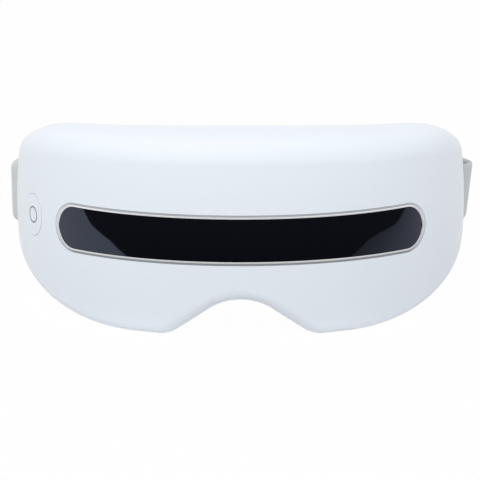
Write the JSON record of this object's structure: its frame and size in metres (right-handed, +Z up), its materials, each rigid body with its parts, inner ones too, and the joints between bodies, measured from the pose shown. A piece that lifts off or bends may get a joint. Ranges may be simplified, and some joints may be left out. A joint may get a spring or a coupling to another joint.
{
  "type": "eye massager",
  "caption": "Wrap-round eye massager: white curved housing with a dark window band, side power button, padded face cushion with air-pushed eye pads, and an elastic head strap.",
  "frame": {"origin": "centre of the bounding box at its bottom, on the table that the two lobes stand on", "axes": "+X to the viewer's right across the front, +Y back towards the wearer, +Z up; the window faces -Y"},
  "size_m": [0.2104, 0.1694, 0.0862],
  "materials": {
    "shell_white": "satin moulded",
    "window_black": "polished",
    "trim_silver": "bright plated",
    "mark_grey": "moulded",
    "frame_white": "moulded",
    "cushion_skin": "soft grained, foam filled",
    "pad_cloth": "knitted mesh over foam",
    "strap_webbing": "ribbed elastic webbing",
    "slider_plastic": "moulded",
    "film_clear": "soft film",
    "heater_film": "printed film",
    "tube_soft": "soft tube",
    "inner_black": "moulded",
    "inner_white": "moulded",
    "board_green": "printed board",
    "steel": "drawn or turned",
    "cell_wrap": "wrapped cell"
  },
  "bodies": {
    "housing": {"front_shell": "shell_white", "window_trim": "trim_silver", "window_lens": "window_black", "tact_switch": "inner_black", "switch_board": "board_green", "rear_frame": "frame_white", "face_cushion": "cushion_skin", "right_airbag": "film_clear", "left_airbag": "film_clear", "head_strap": "strap_webbing", "strap_tail": "strap_webbing", "frame_screws": "steel", "board_screws": "steel", "main_board": "board_green", "board_chips": "inner_black", "board_sockets": "inner_white", "battery": "cell_wrap", "pump_cap": "inner_white", "pump_diaphragm": "tube_soft", "pump_case": "inner_white", "pump_motor": "steel", "air_tees": "inner_white", "air_tubes": "tube_soft", "release_valve": "inner_black", "right_buzzer": "steel", "left_buzzer": "steel", "charge_board": "board_green", "charge_port": "steel"},
    "power_button": {"power_button": "shell_white", "ring_light_guide": "mark_grey", "switch_plunger": "inner_black"},
    "right_eye_pad": {"right_eye_pad": "pad_cloth", "right_heater": "heater_film"},
    "left_eye_pad": {"left_eye_pad": "pad_cloth", "left_heater": "heater_film"},
    "strap_slider": {"strap_slider": "slider_plastic"},
    "pump_crank": {"pump_crank": "steel"},
    "valve_plunger": {"valve_plunger": "steel"},
    "right_buzzer_weight": {"right_buzzer_weight": "steel"},
    "left_buzzer_weight": {"left_buzzer_weight": "steel"}
  },
  "joints": [
    {"name": "button_press", "type": "slide", "parent": "housing", "child": "power_button", "axis": [0.8686, 0.4955, 0], "range_m": [0, 0.0007], "stiffness_N_per_m": 1200},
    {"name": "right_pad_push", "type": "slide", "parent": "housing", "child": "right_eye_pad", "axis": [0, 1, 0], "range_m": [0, 0.006], "stiffness_N_per_m": 150, "deforming": ["right_airbag"]},
    {"name": "left_pad_push", "type": "slide", "parent": "housing", "child": "left_eye_pad", "axis": [0, 1, 0], "range_m": [0, 0.006], "stiffness_N_per_m": 150, "deforming": ["left_airbag"]},
    {"name": "slider_adjust", "type": "hinge", "parent": "housing", "child": "strap_slider", "pos_m": [0, -0.02163, 0.0457], "axis": [0, 0, 1], "range_deg": [-10, 10], "deforming": ["strap_tail"]},
    {"name": "pump_turn", "type": "hinge", "parent": "housing", "child": "pump_crank", "pos_m": [0.05858, -0.05195, 0.0502], "axis": [0, 0, 1], "continuous": true},
    {"name": "valve_release", "type": "slide", "parent": "housing", "child": "valve_plunger", "axis": [0, 0, -1], "range_m": [0, 0.001], "stiffness_N_per_m": 60},
    {"name": "right_buzz", "type": "hinge", "parent": "housing", "child": "right_buzzer_weight", "pos_m": [0.07514, -0.03075, 0.022], "axis": [0, 0, 1], "continuous": true},
    {"name": "left_buzz", "type": "hinge", "parent": "housing", "child": "left_buzzer_weight", "pos_m": [-0.07514, -0.03075, 0.022], "axis": [0, 0, 1], "continuous": true}
  ],
  "couplings": [
    {"joint": "left_pad_push", "follows": "right_pad_push", "ratio": 1}
  ]
}
